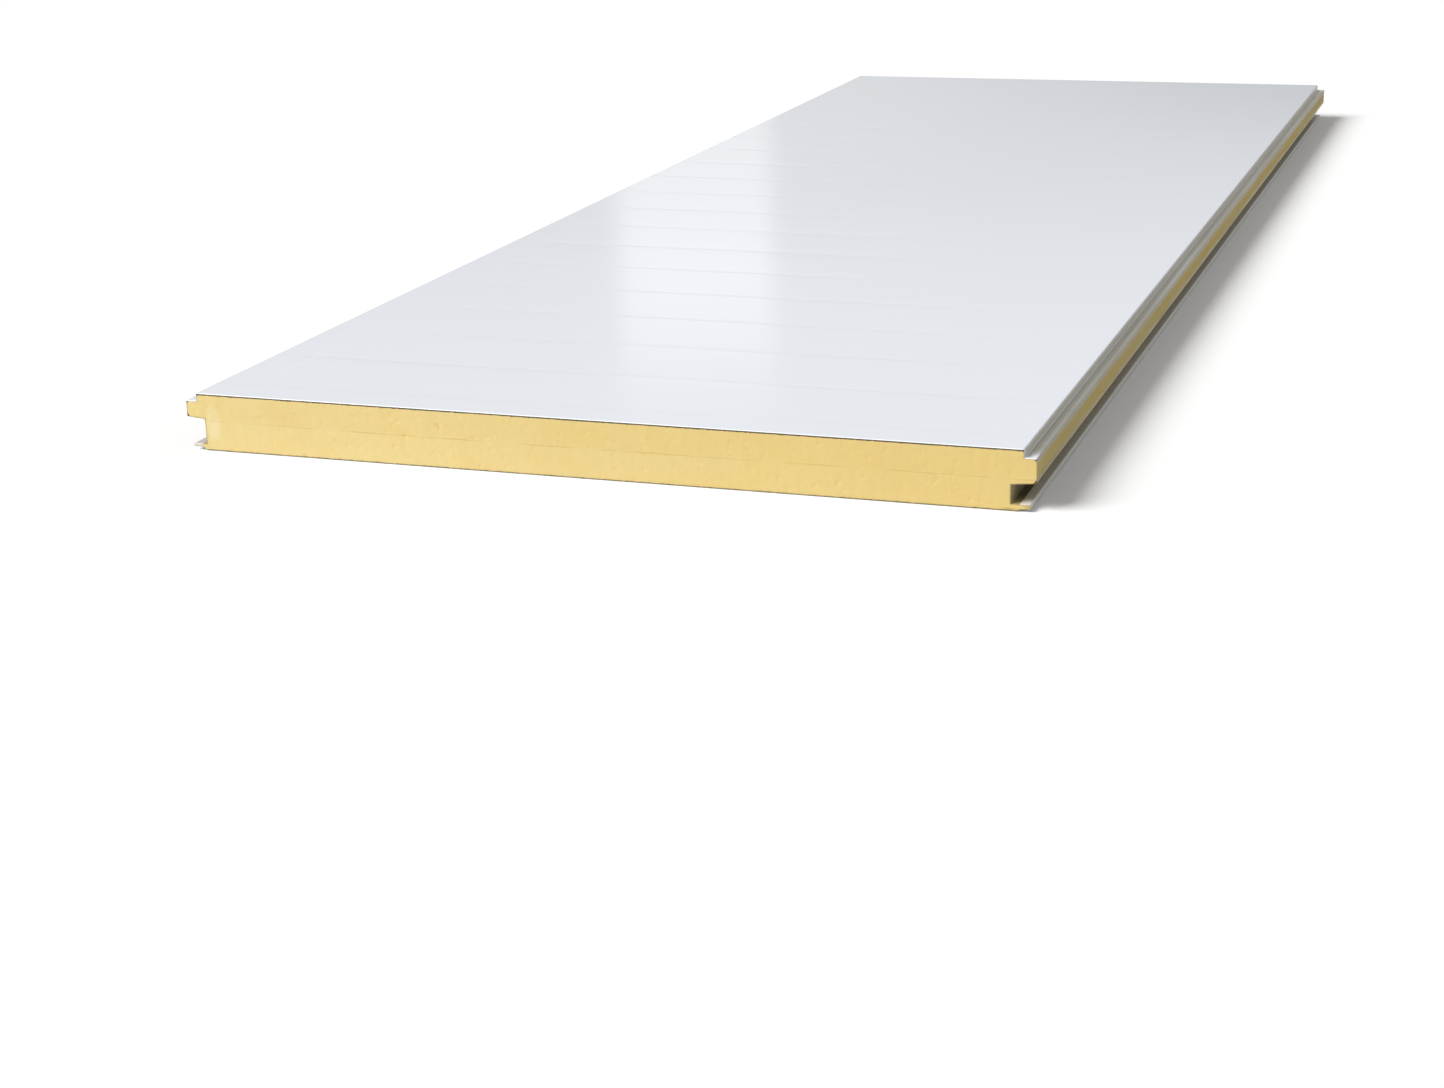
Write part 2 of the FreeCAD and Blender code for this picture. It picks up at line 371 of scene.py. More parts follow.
class Shader:
    """The nodes of a material or a world while they are put together."""

    def __init__(self, owner: bpy.types.Material | bpy.types.World, unit: float = METRE) -> None:
        """Starts with nothing but the place on the object; in a world that is the ray's direction.

        Args:
            owner: What the nodes belong to.
            unit: What x, y and z are multiplied by, which makes them millimetres in a material.
        """
        self.owner = owner
        owner.use_nodes = True
        self.tree = owner.node_tree
        self.tree.nodes.clear()
        self.place = self.node("ShaderNodeTexCoord").outputs["Object"]
        split = self.node("ShaderNodeSeparateXYZ", inputs={"Vector": self.place})
        self.x, self.y, self.z = (Value(self, socket) * unit for socket in split.outputs)

    @classmethod
    def material(cls, name: str) -> "Shader":
        """Starts a new material."""
        return cls(bpy.data.materials.new(name))

    def node(self, kind: str, settings: dict[str, object] | None = None,
             inputs: dict[int | str, object] | None = None) -> bpy.types.Node:
        """Adds a node, with its settings first and its sockets after them.

        Args:
            kind: The node's type.
            settings: Its properties by name.
            inputs: A number, a colour, a vector, a Value or a socket for each input, by name or number.

        Returns:
            The node.
        """
        node = self.tree.nodes.new(kind)
        for name, setting in (settings or {}).items():
            setattr(node, name, setting)
        for name, source in (inputs or {}).items():
            socket = node.inputs[name]
            source = source.socket if isinstance(source, Value) else source
            if isinstance(source, bpy.types.NodeSocket):
                self.tree.links.new(source, socket)
            elif socket.type == "RGBA":
                socket.default_value = (*source, 1.0)
            else:
                socket.default_value = source
        return node

    def value(self, kind: str, settings: dict[str, object] | None = None,
              inputs: dict[int | str, object] | None = None, output: int | str = 0) -> Value:
        """Adds a node as node() does, and gives one of its outputs as a value."""
        return Value(self, self.node(kind, settings, inputs).outputs[output])

    def stretched(self, stretch: Triple, shift: float = 0.0) -> bpy.types.NodeSocket:
        """The place on the object in metres, times a factor for each axis and shifted along all."""
        return self.node("ShaderNodeMapping", inputs={
            "Vector": self.place, "Scale": stretch, "Location": (shift, shift, shift)}).outputs[0]

    def noise(self, per_metre: float, detail: float = 2.0, stretch: Triple = (1, 1, 1),
              shift: float = 0.0) -> Value:
        """Smooth noise.

        Args:
            per_metre: Waves to the metre.
            detail: Number of finer layers.
            stretch: Factor on the waves along each axis.
            shift: Distance that sets it apart from another noise.

        Returns:
            The noise, from about -0.5 to 0.5.
        """
        return self.value("ShaderNodeTexNoise", inputs={
            "Vector": self.stretched(stretch, shift), "Scale": per_metre, "Detail": detail}) - 0.5

    def specks(self, per_metre: float, size: float, share: float, shift: float = 0.0) -> Value:
        """Round specks scattered in cells.

        Args:
            per_metre: Cells to the metre.
            size: Radius of a speck, in cells.
            share: Share of the cells that have one.
            shift: Distance that sets them apart from other specks.

        Returns:
            1 in the middle of a speck, 0 outside.
        """
        cells = self.node("ShaderNodeTexVoronoi", inputs={
            "Vector": self.stretched((1, 1, 1), shift), "Scale": per_metre})
        chance = self.value("ShaderNodeSeparateColor", inputs={"Color": cells.outputs["Color"]})
        return Value(self, cells.outputs["Distance"]).rise(size, 0.3 * size) * chance.rise(share + 0.01, share)

    def blend(self, share: Value | float, start: object, end: object) -> bpy.types.NodeSocket:
        """A colour between two others by a share from 0 to 1."""
        return self.node("ShaderNodeMix", {"data_type": "RGBA"}, {0: share, 6: start, 7: end}).outputs[2]

    def scaled(self, colour: object, factor: Value) -> bpy.types.NodeSocket:
        """A colour times a number."""
        inputs = {0: colour, "Scale": factor}
        return self.node("ShaderNodeVectorMath", {"operation": "SCALE"}, inputs).outputs[0]

    def bump(self, height: Value, depth: float) -> bpy.types.NodeSocket:
        """A normal bent by a height from 0 to 1 that stands for a depth in millimetres."""
        return self.node("ShaderNodeBump", inputs={"Height": height, "Distance": depth / METRE}).outputs[0]

    def finish(self, **inputs: object) -> bpy.types.Material:
        """Ends the material in one Principled surface.

        Args:
            inputs: What each of its inputs gets, named with _ for a space.

        Returns:
            The material.
        """
        named = {name.replace("_", " "): source for name, source in inputs.items()}
        principled = self.node("ShaderNodeBsdfPrincipled", inputs=named)
        self.node("ShaderNodeOutputMaterial", inputs={"Surface": principled.outputs[0]})
        return self.owner


# Finishes ---------------------------------------------------------------------------------------------------


@dataclass(frozen=True)
class SlatMarks:
    """Faint straight marks across a facing, left by the slats of the press. Millimetres."""

    first: float = -1421.5
    pitch: float = 171.5
    width: float = 5.0
    skew: float = 0.33          # the slats press less beyond the line x + skew * y = ease
    ease: float = -200.0
    ease_run: float = 400.0
    eased: float = 0.75         # share of the pressure that is lost there

    def mask(self, shader: Shader) -> Value:
        """How much of a mark there is.

        Args:
            shader: The shader of the coating.

        Returns:
            About 1 in the middle of a mark, uneven along it, and 0 beside it.
        """
        away = abs((shader.y + (0.5 * self.pitch - self.first)) % self.pitch - 0.5 * self.pitch)
        eased = (shader.x + self.skew * shader.y).rise(self.ease, self.ease + self.ease_run)
        uneven = (0.65 + 0.9 * shader.noise(3.0, stretch=(1, 2, 1))) * (1 - self.eased * eased)
        return away.rise(1.1 * self.width, 0.2 * self.width) * uneven


@dataclass(frozen=True)
class RubbedLine:
    """A fine rubbed line along a facing and a fleck beside it. Millimetres."""

    across: float = -507.7
    half_width: Span = (0.3, 1.4)       # clear and soft, as the fleck's
    start: Span = (-1575.0, -1550.0)
    end: Span = (-1360.0, -1325.0)
    wander: float = 0.8
    fleck: tuple[float, float] = (-461.4, -1470.2)
    fleck_half: tuple[Span, Span] = ((0.8, 3.0), (1.0, 4.0))    # half its size across and along

    def masks(self, shader: Shader) -> tuple[Value, Value]:
        """Where the line and the fleck are.

        Args:
            shader: The shader of the coating.

        Returns:
            How much of the line there is, uneven along it, and how much of the fleck.
        """
        off = abs(shader.x - self.across + self.wander * shader.noise(30.0))
        line = off.rise(*self.half_width[::-1]) * shader.y.band(self.start, self.end)
        line = line * (0.5 + 1.2 * shader.noise(25.0, 3.0, stretch=(0.1, 1, 1)))
        sides = zip((shader.x, shader.y), self.fleck, self.fleck_half)
        across, along = (abs(place - middle).rise(*half[::-1]) for place, middle, half in sides)
        return line, across * along


@dataclass(frozen=True)
class PaintedShade:
    """Painted shade on one face of a joint, with a duller gloss. Millimetres: across from the centre line, up
    from the underside.
    """

    across: Span
    up: Span
    tint: Colour                # what the painted shade leaves of the coat's colour
    sides: tuple[Side, ...] = tuple(Side)
    lit_end: float = 0.0      # length at each sheared end that the painted shade leaves out, where the light reaches in
    half_length: float = 1650.0
    soft: float = 0.8
    ragged: float = 20.0        # unevenness of that length
    dulling: float = 0.3        # what it adds to the roughness

    def mask(self, shader: Shader) -> Value:
        """How much painted shade there is.

        Args:
            shader: The shader of the coating.

        Returns:
            About 1 on the face, patchy, and 0 beyond it.
        """
        side = abs(shader.x) if len(self.sides) > 1 else shader.x * self.sides[0].value
        mask = 0.92 + 0.35 * shader.noise(24.0, 3.0, stretch=(3, 0.1, 1), shift=4.4)
        for place, (low, high) in ((side, self.across), (shader.z, self.up)):
            mask = mask * place.band((low - self.soft, low), (high, high + self.soft))
        if self.lit_end:
            to_end = self.half_length - abs(shader.y) + self.ragged * shader.noise(30.0, shift=6.0)
            mask = mask * to_end.rise(0.0, self.lit_end)
        return mask


@dataclass(frozen=True)
class CoatedSteel:
    """Smooth coil coating on flat steel: satin gloss, faint orange peel, press marks and a rubbed line, with
    painted shade on the joint faces and the marks.
    """

    name: str
    colour: Colour
    roughness: float
    marks: SlatMarks
    painted_shades: tuple[PaintedShade, ...]
    rubbed: RubbedLine | None = None
    mark_shade: Span = (0.065, 0.135)         # share of the colour that a mark loses, nearer and further along: painted shade that offsets the marks' rougher gloss and darkens them in it
    mark_shade_run: Span = (-1000.0, 300.0)   # where it grows from the one to the other

    def material(self) -> bpy.types.Material:
        """Makes the material: marks and lines on a cloudy coat, and one painted shade after another over them.

        Returns:
            The material.
        """
        shader = Shader.material(self.name)
        cloud = shader.noise(2.2, 3.0, stretch=(1, 0.5, 1))
        streak = shader.noise(60.0, 2.0, stretch=(1, 0.02, 1), shift=3.1)
        peel = shader.noise(260.0, 1.0, shift=0.7)
        mark = self.marks.mask(shader)
        near, far = self.mark_shade
        mark_shade = near + (far - near) * shader.y.rise(*self.mark_shade_run)
        # painted shade on the press marks, growing further along
        shade = 1 + 0.02 * cloud + 0.01 * streak - mark_shade * mark
        roughness = self.roughness + 0.04 * cloud + 0.22 * mark
        if self.rubbed:
            line, fleck = self.rubbed.masks(shader)
            shade = shade + 0.22 * line + 0.12 * fleck
            roughness = roughness + 0.15 * line
        colour = self.colour
        # painted shade on the joint faces: each one tints the coat where shade falls in the joint
        for joint_shade in self.painted_shades:
            dimmed, mask = tuple(np.multiply(self.colour, joint_shade.tint)), joint_shade.mask(shader)
            colour = shader.blend(mask, colour, dimmed)
            roughness = roughness + joint_shade.dulling * mask
        return shader.finish(Base_Color=shader.scaled(colour, shade), Roughness=roughness,
                             Normal=shader.bump(0.5 + peel, 0.006), IOR=1.5)


@dataclass(frozen=True)
class HiddenShade:
    """A hidden face painted dark, as painted shade for where it shows in the voids, with a stain over it."""

    name: str
    colour: Colour

    def material(self) -> bpy.types.Material:
        """Makes the material: one stain in colour, roughness and height.

        Returns:
            The material.
        """
        shader = Shader.material(self.name)
        stain = shader.noise(60.0, 3.0)
        return shader.finish(
            Base_Color=shader.scaled(self.colour, 1 + 0.8 * stain), Roughness=0.85 + 0.1 * stain,
            Normal=shader.bump(0.5 + stain, 0.2), Specular_IOR_Level=0.1)


@dataclass(frozen=True)
class CutSteel:
    """The sheared edge of a sheet: fine lines through its thickness, and painted shade at given bends, where
    the void behind a bend shows dark.
    """

    name: str
    colour: Colour
    metallic: float
    shade_corners: tuple[Place, ...] = ()        # corners in section, in millimetres, that get painted shade
    shade_reach: float = 2.4
    shade_share: float = 0.95              # share of the colour that the painted shade takes

    def material(self) -> bpy.types.Material:
        """Makes the material: lines and stains, and a soft round painted shade at each given corner.

        Returns:
            The material.
        """
        shader = Shader.material(self.name)
        lines = shader.noise(1500.0, 2.0, stretch=(1, 1, 0.2))
        stain = shader.noise(90.0, 3.0, shift=1.3)
        shade = 1 + 0.15 * lines + 0.15 * stain
        # painted shade: dark round patches at the given bends
        for corner_x, corner_z in self.shade_corners:
            across, up = abs(shader.x) - corner_x, shader.z - corner_z
            corner_shade = (across * across + up * up).rise(self.shade_reach ** 2, (0.6 * self.shade_reach) ** 2)
            shade = shade * (1 - self.shade_share * corner_shade)
        return shader.finish(
            Base_Color=shader.scaled(self.colour, shade), Roughness=0.42 + 0.2 * lines,
            Metallic=self.metallic, Normal=shader.bump(0.5 + lines, 0.03))


@dataclass(frozen=True)
class Smudge:
    """A soft patch of another colour on the sawn face: an ellipse in section, in millimetres."""

    across: float
    up: float
    half_width: float
    half_height: float
    colour: Colour
    share: float                # of its colour in its middle

    def mask(self, shader: Shader) -> Value:
        """How much of the patch there is.

        Args:
            shader: The shader of the sawn foam.

        Returns:
            The patch's share in its middle, 0 beyond a ragged outline.
        """
        across = (shader.x - self.across) * (1 / self.half_width)
        up = (shader.z - self.up) * (1 / self.half_height)
        ragged = 0.8 * shader.noise(120.0, 3.0, shift=self.up)
        return self.share * (across * across + up * up + ragged).rise(1.2, 0.3)


@dataclass(frozen=True)
class SawnFoam:
    """The sawn end of rigid foam: open fine cells, blotches, torn specks, a broken knit line and dark margins,
    with painted shadow along both skins.

    Above the knit line and in patches the foam is a little warmer, and towards the right it is darker as
    painted shade. Heights and distances are in millimetres.
    """

    name: str
    left: Colour
    right: Colour
    warm: Colour
    stain: Colour
    shadow: Colour                          # painted shadow of the torn gap under the top skin
    smudges: tuple[Smudge, ...]
    reach: Span = (-620.0, 620.0)           # across which left turns to right: the darker right is painted shade
    knit: float = 41.5                      # height of the knit line
    knit_half: Span = (0.2, 1.1)            # half its width, dark and soft
    under_skin: Span = (76.3, 77.4)         # heights over which the painted shadow under the top skin comes in
    over_skin: Span = (1.2, 2.2)            # and over which the painted shadow along the lower skin fades
    outline: Span = (0.4, 1.6)              # distances from the outline over which its margin fades
    margin: str = "to_margin"               # attribute with the distance to the outline, in metres

    def tinted(self, shader: Shader, patches: Value, blotches: Value) -> tuple[Value, Value]:
        """Where the foam is warmer, and where its knit line is.

        Args:
            shader: The shader.
            patches: Noise of wide patches.
            blotches: Noise of smaller blotches.

        Returns:
            The warm colour's share, at most 1, and the knit line's.
        """
        height = self.knit + 3.0 * shader.noise(3.0, 1.0, shift=1.9) + 2.0 * shader.noise(45.0, 3.0)
        broken = shader.noise(14.0, 3.0, stretch=(1, 1, 0.2), shift=8.0).rise(-0.10, 0.12)
        knit = abs(shader.z - height).rise(*self.knit_half[::-1]) * broken
        above = 0.16 * (shader.z - height).rise(-3.0, 6.0)
        warm = 0.28 * (patches + 0.6 * blotches).rise(-0.08, 0.28)
        hairs = abs(shader.noise(48.0, 2.0, shift=6.3)).rise(0.010, 0.002) \
            * shader.noise(16.0, 2.0, shift=2.9).rise(0.06, 0.16)
        return (above + warm + 0.7 * knit + 0.6 * hairs).at_most(1.0), knit

    def material(self) -> bpy.types.Material:
        """Makes the material: a mottled ground with smudges, warmer parts over it, and the dark marks and
        painted shadows last.

        Returns:
            The material.
        """
        shader = Shader.material(self.name)
        cells = shader.noise(1100.0, 2.0)
        blotches = shader.noise(150.0, 3.0, stretch=(1, 1, 0.7), shift=3.3)
        patches = shader.noise(30.0, 3.0, stretch=(0.6, 1, 1), shift=0.4)
        streaks = shader.noise(130.0, 2.0, stretch=(1, 1, 0.12), shift=2.2)
        clouds = shader.noise(7.0, 2.0, shift=5.0)
        shade = 1 + 0.10 * cells + 0.09 * blotches + 0.05 * patches + 0.05 * streaks + 0.05 * clouds
        # painted shade: darker towards the right
        colour = shader.blend(shader.x.rise(*self.reach), self.left, self.right)
        for smudge in self.smudges:
            colour = shader.blend(smudge.mask(shader), colour, smudge.colour)
        warm, knit = self.tinted(shader, patches, blotches)
        colour = shader.scaled(shader.blend(warm, colour, self.warm), shade)

        to_margin = METRE * shader.value("ShaderNodeAttribute", {"attribute_name": self.margin}, output="Fac")
        torn = shader.noise(420.0, 2.0, stretch=(1, 1, 0.8), shift=7.7).rise(0.17, 0.25) \
            * shader.noise(60.0, 2.0, shift=9.1).rise(-0.06, 0.12)
        pits = shader.specks(75.0, 0.06, 0.10, shift=2.7)
        ragged = 2.0 * shader.noise(230.0, 3.0, stretch=(1, 1, 0.3), shift=4.1)
        # painted shadows along the two skins: under the top one and over the lower one
        under_skin = (shader.z + ragged).rise(*self.under_skin)
        over_skin = (shader.z + ragged).rise(*self.over_skin[::-1])
        outline = (to_margin + ragged).rise(*self.outline[::-1])
        dark = 0.12 * knit + 0.4 * torn + 0.5 * pits + 0.65 * over_skin + 0.45 * outline
        colour = shader.blend(dark.at_most(0.88), colour, self.stain)
        # painted shadow under the top skin
        colour = shader.blend(0.95 * under_skin, colour, self.shadow)
        height = 0.5 + 0.5 * cells + 0.2 * blotches - 0.4 * torn - 0.4 * pits
        return shader.finish(Base_Color=colour, Roughness=0.92, Normal=shader.bump(height, 0.2),
                             Specular_IOR_Level=0.2)


@dataclass(frozen=True)
class CastFoam:
    """The cast side of rigid foam: an ochre skin with greyish flow lines along it and a few blisters."""

    name: str
    colour: Colour
    grey: Colour
    stain: Colour

    def material(self) -> bpy.types.Material:
        """Makes the material: flow lines and patches in colour, shade and height, and blisters over them.

        Returns:
            The material.
        """
        shader = Shader.material(self.name)
        flow = shader.noise(60.0, 3.0, stretch=(1, 0.06, 2))
        patches = shader.noise(9.0, 3.0, stretch=(1, 0.6, 1), shift=1.1)
        blisters = shader.specks(90.0, 0.3, 0.07)
        colour = shader.blend(0.6 * (patches + flow).rise(-0.15, 0.3), self.colour, self.grey)
        shade = 1 + 0.3 * flow + 0.3 * patches
        colour = shader.blend(0.35 * blisters, shader.scaled(colour, shade), self.stain)
        height = 0.5 + 0.5 * flow + 0.5 * patches - 0.3 * blisters
        return shader.finish(Base_Color=colour, Roughness=0.7 + 0.2 * patches,
                             Normal=shader.bump(height, 0.4), Specular_IOR_Level=0.25)


@dataclass(frozen=True)
class EdgeFoil:
    """Dull foil on brown paper: fine lengthwise wrinkles and darker smudges, with painted shade deep in the
    groove.
    """

    name: str
    colour: Colour
    smudge: Colour
    half_length: float = 1650.0         # millimetres, as the ones below
    lit_end: float = 45.0             # length at each end over which the painted shade fades out, where light reaches in
    deep: Span = (562.0, 583.0)         # from the back of the groove, in painted shade, out to the open side
    floor: Span = (9.8, 16.0)           # heights over which the painted shade thins out upwards

    def material(self) -> bpy.types.Material:
        """Makes the material: wrinkles and smudges, with painted shade by how deep and how far from the ends a
        place is.

        Returns:
            The material.
        """
        shader = Shader.material(self.name)
        wrinkles = shader.noise(220.0, 2.0, stretch=(1, 0.02, 1))
        smudges = shader.noise(12.0, 3.0, stretch=(1, 0.5, 1), shift=0.9)
        creases = shader.noise(40.0, 2.0, stretch=(0.3, 1, 0.3), shift=2.0)
        inland = abs(shader.y).rise(self.half_length, self.half_length - self.lit_end)
        deep = abs(shader.x).rise(*self.deep[::-1]) * (0.6 + 0.25 * shader.z.rise(*self.floor[::-1]))
        # painted shade deep in the groove
        shade = (1 + 0.12 * wrinkles) * (1.1 - deep * inland)
        colour = shader.blend(0.5 * smudges.rise(-0.05, 0.25), self.colour, self.smudge)
        height = 0.5 + 0.6 * wrinkles + 0.3 * creases
        return shader.finish(Base_Color=shader.scaled(colour, shade), Metallic=0.15,
                             Roughness=0.45 + 0.15 * smudges, Normal=shader.bump(height, 0.08))


# Sub-assemblies ---------------------------------------------------------------------------------------------


@dataclass
class FormedSheet:
    """A steel sheet bent to a line in section and carried along the panel, with drooping sheared ends."""

    section: Section
    name: str
    node: str
    slot: str
    corners: list[Place]
    inside_radii: list[float]
    gauge: float
    hand: Hand
    coating: CoatedSteel
    back: HiddenShade
    edge: CutSteel
    inward: float               # sign of Z into the panel from the sheet's flat face
    cell: float = 30.0          # across the sheet
    station: float = 60.0       # along it
    margin: float = 6.0         # plain strip along the first bends, and at the ends
    dip: float = 0.16           # depth of a press mark
    fade: float = 84.0          # run over which marks and waves come up from the margin
    swell: float = 0.12         # height of the slow waves
    swell_run: float = 60.0     # run over which they come up from the ends
    droop: float = 0.50         # fall of a sheared edge
    droop_run: float = 0.9      # length of that fall
    set_back: float = 0.4       # of the exposed side's edge behind the hidden side's
    end_steps: tuple[float, ...] = (0, 0.25, 0.5, 0.75, 1.0, 1.4, 2.6)      # stations at an end
    mark_seed: int = 11
    swell_seed: int = 5

    def line(self) -> tuple[np.ndarray, np.ndarray]:
        """The sheet in section. The hidden line is the gauge away from the exposed one along the normals.

        A bend towards the thickness has its inside radius on the hidden line, and otherwise on the exposed one.

        Returns:
            The exposed line and the hidden one.
        """
        runs = np.diff(np.asarray(self.corners), axis=0)
        turns = runs[:-1, 0] * runs[1:, 1] - runs[:-1, 1] * runs[1:, 0]
        radii = np.asarray(self.inside_radii) + self.gauge * (turns * self.hand.value > 0)
        points, normals = bent_line(self.corners, list(radii), self.cell)
        return points, points + normals * (self.gauge * self.hand.value)

    def stations(self) -> np.ndarray:
        """Places along Y: equal steps, and closer ones at the press marks and at the sheared ends.

        Returns:
            The places in rising order.
        """
        half, marks = self.section.half_length, self.coating.marks
        steps = graded([-half + self.margin, half - self.margin], self.station)
        middles = np.arange(marks.first, half, marks.pitch)
        at_marks = middles[:, None] + marks.width * np.linspace(-1.6, 1.6, 9)
        ends = half - np.array(self.end_steps)
        places = np.concatenate([steps, at_marks.ravel(), ends, -ends])
        return np.unique(np.round(places[np.abs(places) <= half], 3))

    def relief(self, x: np.ndarray, y: np.ndarray) -> np.ndarray:
        """Depth of the flat face into the panel: press marks, each exp(-(distance / width)²), and slow waves.

        Both fade out towards the first bends, and the waves towards the ends, so nothing stands proud.

        Args:
            x: Places across, in millimetres.
            y: Places along, of a shape that goes with the first.

        Returns:
            The depth at each place, in millimetres.
        """
        s, marks = self.section, self.coating.marks
        off = (y - marks.first + marks.pitch / 2) % marks.pitch - marks.pitch / 2
        number = np.floor((y - marks.first) / marks.pitch + 0.5)
        strength = 0.65 + 0.35 * rolling(x / 260, number * 3.7, self.mark_seed)
        eased = smooth_step(marks.ease, marks.ease + marks.ease_run, x + marks.skew * y)
        strength = strength * (1 - marks.eased * eased)
        waves = 0.5 + 0.5 * rolling(x / 310 + 9, y / 420 + 9, self.swell_seed)
        plain = s.face_edge - self.margin
        flat = smooth_step(plain, plain - self.fade, np.abs(x))
        inland = smooth_step(0, self.swell_run, s.half_length - np.abs(y))
        pressed = self.dip * strength * np.exp(-(off / marks.width) ** 2)
        return flat * (pressed + self.swell * waves * inland)

    def build(self) -> list[bpy.types.Object]:
        """Makes the sheet: the section's line at every station, sunk by the relief and drooping at the ends.

        The droop is its fall times (1 - distance from the end / run)².

        Returns:
            The sheet alone.
        """
        exposed, hidden = self.line()
        inwards = (hidden - exposed) / self.gauge
        half = self.section.half_length
        y = self.stations()[:, None]
        fall = self.droop * np.clip(1 - (half - np.abs(y)) / self.droop_run, 0, 1) ** 2
        level = np.abs(inwards[:, 1]) > 0.999
        surfaces = []
        for line, set_back in ((exposed, self.set_back), (hidden, 0.0)):
            x, z = (line[:, axis] + fall * inwards[:, axis] for axis in (0, 1))
            main = level & (np.abs(line[:, 0]) < self.section.face_edge - self.margin)
            z = z + self.inward * main * self.relief(x, y)
            surfaces.append(surface(x, y * (1 - set_back / half), z))
        vertices, quads, kinds = closed_sheet(*surfaces)
        finishes = [finish.material() for finish in (self.coating, self.back, self.edge)]
        return [make_piece(self.name, vertices, quads, finishes, kinds)]


@dataclass
class FoamCore:
    """The rigid foam between the facings: sawn ends with open cells and pits, and cast sides."""

    section: Section
    over: np.ndarray            # hidden line of the inner facing, which the foam fills to
    sawn: SawnFoam
    cast: CastFoam
    wall: HiddenShade
    name: str = "foam_block"
    node: str = "foam_core"
    slot: str = "foam"
    cell: float = 2.0
    skin_rows: tuple[float, ...] = (0, 0.06, 0.16, 0.36, 0.6, 0.8, 1)     # heights, closer at a facing
    rows: int = 14              # heights in a block of plain foam
    sunk: float = 0.25          # sawn face behind the sheets' ends
    least: float = 0.02         # depth that it has everywhere
    pits: int = 420
    front_seed: int = 21
    back_seed: int = 61
    band_cell: float = 1.6      # up the cast band on a tongue's side
    band_station: float = 9.0   # along it
    band_end: float = 0.3       # how far it stays from the panel's ends
    band_tuck: Span = (2.5, 1.0)            # run of it behind the foil, and behind the sheet's return
    band_levels: Span = (-0.4, 0.09)        # its back and its face, from the foam's side outwards
    band_flow: float = 0.05     # unevenness of its face
    band_seeds: tuple[int, int] = (31, 41)

    def lip(self, side: Side, x: np.ndarray) -> tuple[np.ndarray, np.ndarray]:
        """Heights of the foam in a lip, read off the facing's hidden line.

        Args:
            side: The long edge.
            x: Distances from the centre line.

        Returns:
            Lower and upper heights.
        """
        line = self.over[np.sign(self.over[:, 0]) == side.value]
        line = line if side is Side.RIGHT else line[::-1]
        across, up = np.abs(line[:, 0]), line[:, 1]
        first, last = np.flatnonzero(across > across.max() - NEAR)[[0, -1]]
        lower = np.interp(x, across[:first + 1], up[:first + 1])
        upper = np.interp(x, across[last:][::-1], up[last:][::-1])
        return lower, upper

    def block(self, x: np.ndarray, low: np.ndarray, high: np.ndarray, shares: np.ndarray) -> list[np.ndarray]:
        """The grids of X and Z of a block: rows at fixed shares of the height between two lines."""
        return np.broadcast_arrays(x, low + (high - low) * shares[:, None])

    def middle_blocks(self) -> list[list[np.ndarray]]:
        """The sawn face between the backs of the two grooves.

        Returns:
            Grids of X and Z, from the lower facing up.
        """
        s = self.section
        left, right = s.edges[Side.LEFT], s.edges[Side.RIGHT]
        x = graded([-left.groove_back, right.groove_back], self.cell)
        split = np.interp(x, x[[0, -1]], [left.tongue_root, right.tongue_root])
        lines = [s.inner_gauge, s.foam_roof, split, s.shelf - s.outer_gauge, s.top - s.outer_gauge]
        near_skin, plain = np.array(self.skin_rows), np.linspace(0, 1, self.rows)
        shares = [near_skin, plain, plain, 1 - near_skin[::-1]]
        return [self.block(x, low, high, rows) for low, high, rows in zip(lines, lines[1:], shares)]

    def edge_blocks(self, side: Side) -> list[list[np.ndarray]]:
        """The sawn face beyond the back of one groove. Corners that the foam leaves unfilled are cut off.

        Args:
            side: The long edge.

        Returns:
            Grids of X and Z of the lip, the tongue, and the part between the tongue and the top.
        """
        s, edge = self.section, self.section.edges[side]
        back, cut = edge.groove_back, s.relief
        tongue_roof, ceiling = s.shelf - s.outer_gauge, s.top - s.outer_gauge
        nose = s.nose_edge - s.inner_gauge
        lip_x = graded([back, s.root_edge, nose - edge.nose_bend], self.cell)
        quarter = np.sin(np.linspace(0, math.pi / 2, 7)[1:])
        lip_x = np.append(lip_x, nose - edge.nose_bend * (1 - quarter))
        corner_x = [s.foam_side - cut, s.foam_side]
        tongue_x = graded([back, s.foam_wall - cut, s.foam_wall, *corner_x], self.cell)
        top_x = tongue_x[tongue_x <= s.foam_wall + NEAR]
        slope = (edge.tongue_corner - edge.tongue_root) / (s.foam_side - back)
        under = np.interp(tongue_x, [back, *corner_x],
                          [edge.tongue_root, edge.tongue_corner - slope * cut, edge.tongue_corner + cut])
        over = np.interp(tongue_x, corner_x, [tongue_roof, tongue_roof - cut])
        crown = np.interp(top_x, [s.foam_wall - cut, s.foam_wall], [ceiling, ceiling - cut])
        near_skin, plain = np.array(self.skin_rows), np.linspace(0, 1, self.rows)
        turn = slice(None, None, side.value)
        blocks = []
        for x, lines, rows in ((lip_x, self.lip(side, lip_x), near_skin), (tongue_x, (under, over), plain),
                               (top_x, (tongue_roof, crown), 1 - near_skin[::-1])):
            low, high = (np.broadcast_to(line, x.shape)[turn] for line in lines)
            blocks.append(self.block(x[turn] * side.value, low, high, rows))
        return blocks

